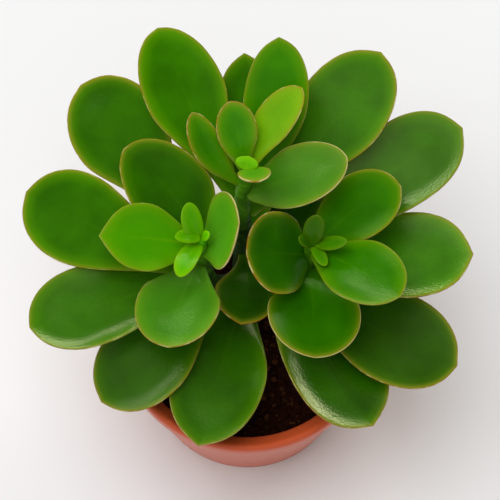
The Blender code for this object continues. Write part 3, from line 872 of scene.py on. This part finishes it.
def model_soil():
    deselect()
    reach = inner_radius(SOIL_TOP) - SOIL_GAP
    bpy.ops.mesh.primitive_cylinder_add(
        vertices=SOIL_SEGMENTS, radius=reach, depth=SOIL_TOP - SOIL_BOTTOM, end_fill_type="NGON",
        location=(0.0, 0.0, (SOIL_TOP + SOIL_BOTTOM) / 2)
    )
    soil = rename("soil_fill")
    bpy.ops.object.transform_apply(location=True, rotation=True, scale=True)
    select_end(soil, 1)
    for _ in range(SOIL_RINGS):
        bpy.ops.mesh.inset(thickness=reach / (SOIL_RINGS + 1))
    bpy.ops.mesh.poke()
    bpy.ops.object.mode_set(mode="OBJECT")
    taper = inner_radius(SOIL_BOTTOM + 1 * MM) / inner_radius(SOIL_TOP)
    for vertex in soil.data.vertices:
        x, y, z = vertex.co
        if z > SOIL_TOP / 2:
            vertex.co.z = soil_height(x, y)
        else:
            vertex.co.x *= taper
            vertex.co.y *= taper
    tidy_skin(soil)
    soil.data.materials.append(peat_potting_soil("peat_soil"))
    return soil


def model_crumbs():
    # One rough crumb, copied over the top with a seeded draw
    deselect()
    bpy.ops.mesh.primitive_ico_sphere_add(subdivisions=2, radius=1.0, location=(0, 0, 0))
    crumb = rename("crumb")
    for vertex in crumb.data.vertices:
        bumps = noise.noise(vertex.co * 1.3 + Vector((3.0, 1.0, 7.0)))
        vertex.co *= 1.0 + CRUMB_ROUGHNESS * bumps
    draw = np.random.default_rng(CRUMB_SEED)
    reach = inner_radius(SOIL_TOP) - CRUMB_MARGIN
    copies = []
    for _ in range(CRUMBS):
        distance = reach * math.sqrt(draw.uniform(0.0, 1.0))
        angle = draw.uniform(0.0, 2 * math.pi)
        size = draw.uniform(*CRUMB_RADIUS)
        if draw.uniform() < LARGE_CRUMB_SHARE:
            size = draw.uniform(*LARGE_CRUMB_RADIUS)
        x, y = distance * math.cos(angle), distance * math.sin(angle)
        piece = crumb.copy()
        piece.data = crumb.data.copy()
        bpy.context.scene.collection.objects.link(piece)
        piece.scale = (size, size * draw.uniform(0.6, 1.0), size * draw.uniform(0.4, 0.8))
        piece.rotation_euler = tuple(draw.uniform(0.0, 6.28, 3))
        piece.location = (x, y, soil_height(x, y) + size * 0.2)
        copies.append(piece)
    bpy.data.objects.remove(crumb, do_unlink=True)
    crumbs = join(copies, "soil_crumbs")
    crumbs.data.materials.append(peat_potting_soil("peat_crumbs"))
    return crumbs


# Stem

def centreline(points, steps):
    # Smooth curve through the points, in metres
    p = np.array(points, float) * MM
    ends = np.vstack([2 * p[0] - p[1], p, 2 * p[-1] - p[-2]])
    line = []
    for i in range(1, len(ends) - 2):
        a, b, c, d = ends[i - 1], ends[i], ends[i + 1], ends[i + 2]
        for s in range(steps):
            t = s / steps
            line.append(0.5 * (
                2 * b + (c - a) * t
                + (2 * a - 5 * b + 4 * c - d) * t ** 2
                + (3 * b - a - 3 * c + d) * t ** 3
            ))
    line.append(ends[-2])
    return np.array(line)


def stem_radius(form, count):
    first, last = form["radius"]
    return (first + (last - first) * np.linspace(0.0, 1.0, count)) * MM


def point_on(shoot, height):
    # Middle and radius of a shoot at a height
    line = centreline(SHOOTS[shoot]["points"], NODE_STEPS)
    radii = stem_radius(SHOOTS[shoot], len(line))
    point = np.array([np.interp(height, line[:, 2], line[:, axis]) for axis in range(3)])
    return point, float(np.interp(height, line[:, 2], radii))


def model_stem():
    # Each shoot is a round path that swells a little at its leaf nodes; the four are grown together
    pieces = []
    for shoot, form in SHOOTS.items():
        deselect()
        line = centreline(form["points"], SKIN_STEPS)
        radii = stem_radius(form, len(line))
        knots = [values[1] * MM for values in LEAVES.values() if values[0] == shoot]
        bpy.ops.curve.primitive_nurbs_path_add(location=(0, 0, 0))
        path = rename("stem_" + shoot)
        path.data.splines.clear()
        spline = path.data.splines.new("POLY")
        spline.points.add(len(line) - 1)
        for point, middle, radius in zip(spline.points, line, radii):
            swell = NODE_SWELL * sum(
                math.exp(-((middle[2] - knot) / NODE_REACH) ** 2) for knot in knots
            )
            point.co = (*middle, 1.0)
            point.radius = radius - NODE_WAIST + swell
        path.data.dimensions = "3D"
        path.data.bevel_depth = 1.0
        path.data.bevel_resolution = 8
        path.data.use_fill_caps = True
        only(path)
        bpy.ops.object.convert(target="MESH")
        pieces.append(bpy.context.active_object)
    stem = join(pieces, "stem_wood")
    apply_modifier(stem, "REMESH", mode="VOXEL", voxel_size=STEM_VOXEL)
    apply_modifier(stem, "SMOOTH", factor=0.5, iterations=6)
    tidy_skin(stem)
    stem.data.materials.append(stem_skin())
    return stem


# Leaves

def leaf_frame(heading, rise, roll):
    h, r, p = math.radians(heading), math.radians(rise), math.radians(roll)
    along = np.array([math.cos(r) * math.cos(h), math.cos(r) * math.sin(h), math.sin(r)])
    flat = np.array([-math.sin(h), math.cos(h), 0.0])
    face = np.cross(along, flat)
    side = flat * math.cos(p) + face * math.sin(p)
    normal = face * math.cos(p) - flat * math.sin(p)
    return along, side, normal


def half_outline(t, length, width, widest, pinch, corner):
    # Half width at a share t of the length; the round end closes in a small blunt corner
    swelling = np.clip(t / widest, 0.0, 1.0) ** pinch
    rising = ROOT_WIDTH + (1 - ROOT_WIDTH) * np.sin(math.pi / 2 * swelling)
    first, second = END_POWERS
    closing = np.maximum(0.0, 1 - ramp(t, widest, 1.0) ** first) ** second
    half = np.where(t < widest, rising, closing) * width / 2
    end = corner * (1 - t) * length
    blend = half ** CORNER_BLEND + end ** CORNER_BLEND + 1e-30
    return half * end / blend ** (1 / CORNER_BLEND)


def rim_distance(points, outline):
    # Distance of each point to the outline, in the blade's own flat
    a, span = outline[:-1], outline[1:] - outline[:-1]
    away = points[:, None]
    reach = np.clip(((away - a) * span).sum(2) / ((span ** 2).sum(1) + 1e-12), 0, 1)
    return np.sqrt((((a + reach[..., None] * span) - away) ** 2).sum(2)).min(1)


def grow_blade(name, root, start, neck, form, lip, corner, points, rings):
    # A sphere is drawn out to a thick blade: its poles are the root and the tip
    heading, rise, length, width, roll, arch, sway, widest, pinch, thickness = form
    length, width, thickness, lip = length * MM, width * MM, thickness * MM, lip * MM
    deselect()
    bpy.ops.mesh.primitive_uv_sphere_add(
        segments=points, ring_count=rings, radius=1.0, location=(0, 0, 0)
    )
    leaf = rename(name)
    ball = np.zeros(len(leaf.data.vertices) * 3)
    leaf.data.vertices.foreach_get("co", ball)
    ball = ball.reshape(-1, 3)
    ring = np.round(np.arccos(np.clip(-ball[:, 2], -1, 1)) / math.pi * rings) / rings
    angle = np.arctan2(ball[:, 1], ball[:, 0])
    pole = (ring < 1e-6) | (ring > 1 - 1e-6)
    c = np.where(pole, 0.0, np.cos(angle))
    s = np.where(pole, 0.0, np.sin(angle))
    t, steps = [
        start + (1 - start) * (1 - (1 - share) ** RING_SPREAD)
        for share in (ring, np.linspace(0.0, 1.0, OUTLINE_STEPS))
    ]

    # Width and thickness at each point
    half, edge = [half_outline(at, length, width, widest, pinch, corner) for at in (t, steps)]
    wider, faster = FULL_NECK if pinch < FULL_BASE_PINCH else PLAIN_NECK
    half = np.minimum(half, neck * wider + np.clip(t - start, 0, 1) * length * faster)
    x = np.sign(c) * np.abs(c) ** SIDE_POWER * half
    depth = thickness / 2 * (1 - TIP_THINNING * t ** 2) * np.sqrt(np.clip(1 - t ** 10, 0, 1))
    upper, lower = [
        height * np.abs(s) ** power * depth for height, power in (UPPER_SKIN, LOWER_SKIN)
    ]
    z = np.where(s > 0, upper, -lower)

    # Cupped blade with a lip that curls up along the margin
    rim = rim_distance(
        np.stack([t * length, np.abs(x)], 1), np.stack([steps * length, edge], 1)
    )
    lift = CUP * width * (x / (width / 2)) ** 2
    lift += lip * ramp(t, *LIP_RISE) * ramp(rim, LIP_REACH, 0.0) ** 2

    # Shallow channel over the midrib, that swells a little on the underside
    channel = CHANNEL_DEPTH * np.exp(-(x / CHANNEL_WIDTH) ** 2)
    channel = channel * ramp(t, *CHANNEL_FADE) * (half / (width / 2))
    lift -= np.where(s > 0, channel, -0.6 * channel)

    # Slow waves, at a place of its own in the noise for each blade
    seed = Vector((heading * 0.37, length * 900, width * 700))
    waves = np.array([
        noise.noise(Vector((t_ * length, x_, 0.0)) / WAVE_SIZE + seed) for t_, x_ in zip(t, x)
    ])
    lift += waves * WAVE_HEIGHT * ramp(t, *WAVE_RISE) * width / WAVE_BLADE

    # The midrib arches up and sways to one side, and the blade stays square to it
    along, side, normal = leaf_frame(heading, rise, roll)
    bow = 4 * t * (1 - t) * length
    centre = root + np.outer(length * t, along)
    centre = centre + np.outer(bow * arch, normal) + np.outer(bow * sway, side)
    slope = 4 * (1 - 2 * t) * sway
    turned = (side - np.outer(slope, along)) / np.sqrt(1 + slope ** 2)[:, None]
    skin = centre + turned * x[:, None] + np.outer(z + lift, normal)
    leaf.data.vertices.foreach_set("co", skin.ravel())
    leaf.data.update()

    # For the material, in mm: rim and across. The bands of a small leaf's margin are narrower.
    write_attribute(leaf, "rim", rim / MM * max(1.0, SMALL_LEAF / width))
    write_attribute(leaf, "along", t)
    write_attribute(leaf, "across", np.abs(x) / MM)
    write_attribute(leaf, "upper", np.clip(s * 6 + 0.5, 0, 1))
    tidy_skin(leaf, merge=False)
    return leaf


def model_leaf(name):
    shoot, node, *form = LEAVES[name]
    tone, lightness_with_shade, bloom_and_sheen, redness, gloss, lip, corner = FINISH[name]
    root, radius = point_on(shoot, node * MM)
    length = form[2] * MM
    leaf = grow_blade(
        "blade_" + name[5:], root, LEAF_START * radius / length, LEAF_NECK * radius,
        form, lip, corner, LEAF_SECTION, LEAF_RINGS
    )
    leaf.data.materials.append(jade_leaf(
        "jade_leaf_" + name[5:], tone, lightness_with_shade, bloom_and_sheen, redness, gloss,
        PALE_EDGE_HIGHLIGHT.get(name, 0.0)
    ))
    return leaf


def model_bud(name):
    # The smallest leaves of a shoot's tip round its growing point
    shoot, blades = BUDS[name]
    tip = np.array(SHOOTS[shoot]["points"][-1], float) * MM
    pieces = []
    for number, (*form, above, ahead) in enumerate(blades):
        h = math.radians(form[0])
        root = tip + np.array([ahead * math.cos(h), ahead * math.sin(h), above]) * MM
        piece = grow_blade(
            name + "_" + str(number), root, TIP_START, TIP_NECK,
            form, TIP_LIP, TIP_CORNER, BUD_SECTION, BUD_RINGS
        )
        lightness_with_shade, bloom_and_sheen, redness = BUD_FINISH[name][number]
        piece.data.materials.append(jade_leaf(
            "jade_tip_" + name[4:] + "_" + str(number), "young",
            lightness_with_shade, bloom_and_sheen, redness, TIP_GLOSS
        ))
        pieces.append(piece)
    deselect()
    bpy.ops.mesh.primitive_uv_sphere_add(
        segments=CORE_SECTION, ring_count=CORE_RINGS, radius=1.0, location=(0, 0, 0)
    )
    core = rename(name + "_core")
    middle = tip + np.array([0.0, 0.0, CORE_RISE])
    for vertex in core.data.vertices:
        vertex.co = [co * size + at for co, size, at in zip(vertex.co, CORE_SIZE, middle)]
    for key, value in CORE_SKIN.items():
        write_attribute(core, key, [value] * len(core.data.vertices))
    bpy.ops.object.shade_smooth()
    core.data.materials.append(pieces[0].data.materials[0])
    return join(pieces + [core], "tip_" + name[4:])


def hand_over(piece, node):
    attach(piece, "root")
    if node:
        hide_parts(node)


deselect()
add_camera()
add_room_light()
for name, panel in SOFTBOXES.items():
    add_softbox(name, *panel)
add_floor()
bpy.context.scene.view_settings.view_transform = "Standard"

hand_over(model_pot(), "pot")
hand_over(model_soil(), "soil")
hand_over(model_crumbs(), None)
hand_over(model_stem(), "stem")
for name in LEAVES:
    hand_over(model_leaf(name), name)
for name in BUDS:
    hand_over(model_bud(name), name)
